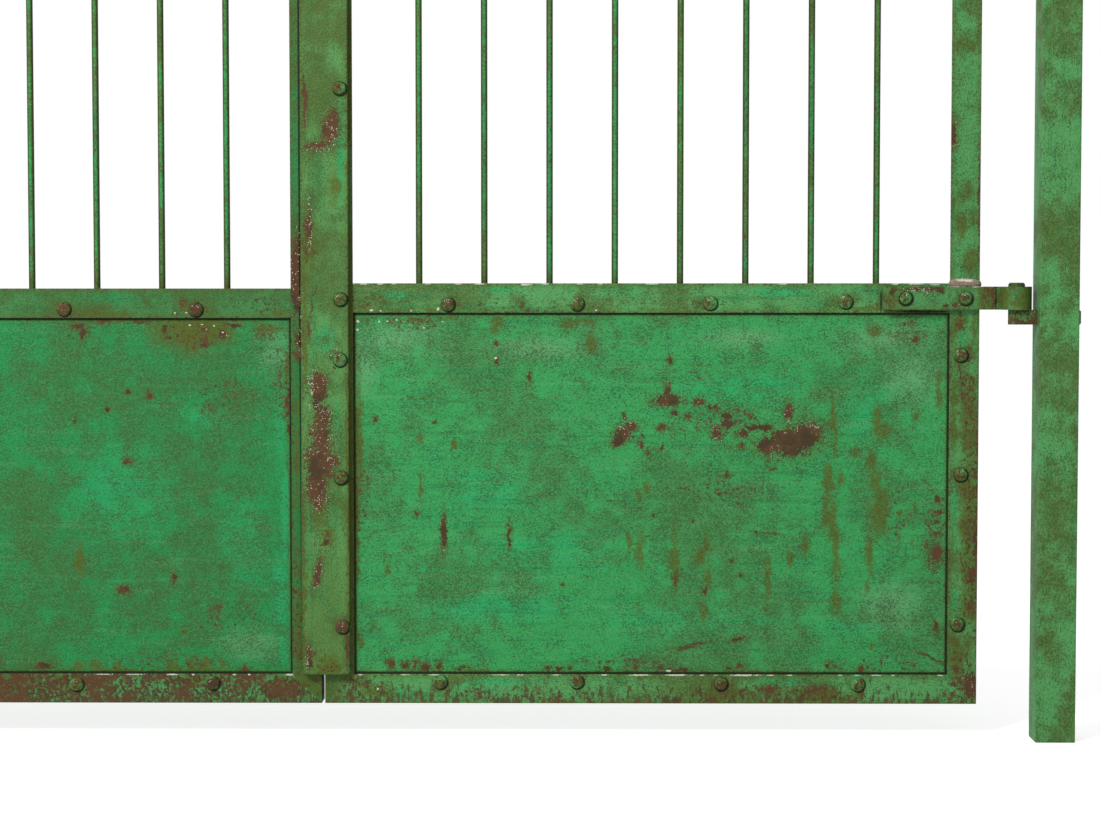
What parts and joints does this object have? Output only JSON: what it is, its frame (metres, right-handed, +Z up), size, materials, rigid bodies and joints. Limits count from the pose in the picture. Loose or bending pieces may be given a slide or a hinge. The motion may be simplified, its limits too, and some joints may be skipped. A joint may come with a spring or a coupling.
{
  "type": "double-leaf iron gate",
  "caption": "Double-leaf riveted iron gate with sheet panels below round bars, a cover strip over the seam and strap hinges on square posts.",
  "frame": {"origin": "middle of the left post's foot, on the ground", "axes": "+X along the gate to the right post, +Y from the front face to the back, +Z up"},
  "size_m": [2.3006, 0.0979, 2.048],
  "materials": {
    "panel_paint": "brushed bright green paint, worn, with rust patches",
    "frame_paint": "duller green paint with dirt and rust",
    "bar_paint": "green paint, dusty",
    "strap_paint": "thick green paint over forged iron",
    "cover_paint": "green paint with large rust patches",
    "post_paint": "green paint with dirt and rust",
    "pintle_paint": "green paint, bare iron where the eye rubs",
    "rivet_paint": "green paint over domed rivet heads"
  },
  "bodies": {
    "posts": {"left_post": "post_paint", "right_post": "post_paint", "left_lower_pintle": "pintle_paint", "left_upper_pintle": "pintle_paint", "right_lower_pintle": "pintle_paint", "right_upper_pintle": "pintle_paint"},
    "left_leaf": {"left_bottom_rail": "frame_paint", "left_mid_rail": "frame_paint", "left_top_rail": "frame_paint", "left_hinge_stile": "frame_paint", "left_meeting_stile": "frame_paint", "left_panel": "panel_paint", "left_lower_strap": "strap_paint", "left_upper_strap": "strap_paint", "left_bar_1": "bar_paint", "left_bar_2": "bar_paint", "left_bar_3": "bar_paint", "left_bar_4": "bar_paint", "left_bar_5": "bar_paint", "left_bar_6": "bar_paint", "left_bar_7": "bar_paint", "left_bar_8": "bar_paint"},
    "right_leaf": {"right_bottom_rail": "frame_paint", "right_mid_rail": "frame_paint", "right_top_rail": "frame_paint", "right_hinge_stile": "frame_paint", "right_meeting_stile": "frame_paint", "right_panel": "panel_paint", "right_lower_strap": "strap_paint", "right_upper_strap": "strap_paint", "right_bar_1": "bar_paint", "right_bar_2": "bar_paint", "right_bar_3": "bar_paint", "right_bar_4": "bar_paint", "right_bar_5": "bar_paint", "right_bar_6": "bar_paint", "right_bar_7": "bar_paint", "right_bar_8": "bar_paint", "cover_strip": "cover_paint", "cover_packing": "cover_paint"}
  },
  "joints": [
    {"name": "left_leaf_hinge", "type": "hinge", "parent": "posts", "child": "left_leaf", "pos_m": [0.0599, 0, 0.6645], "axis": [0, 0, 1], "range_deg": [0, 90]},
    {"name": "right_leaf_hinge", "type": "hinge", "parent": "posts", "child": "right_leaf", "pos_m": [2.1687, 0, 0.6725], "axis": [0, 0, 1], "range_deg": [0, 110]}
  ]
}
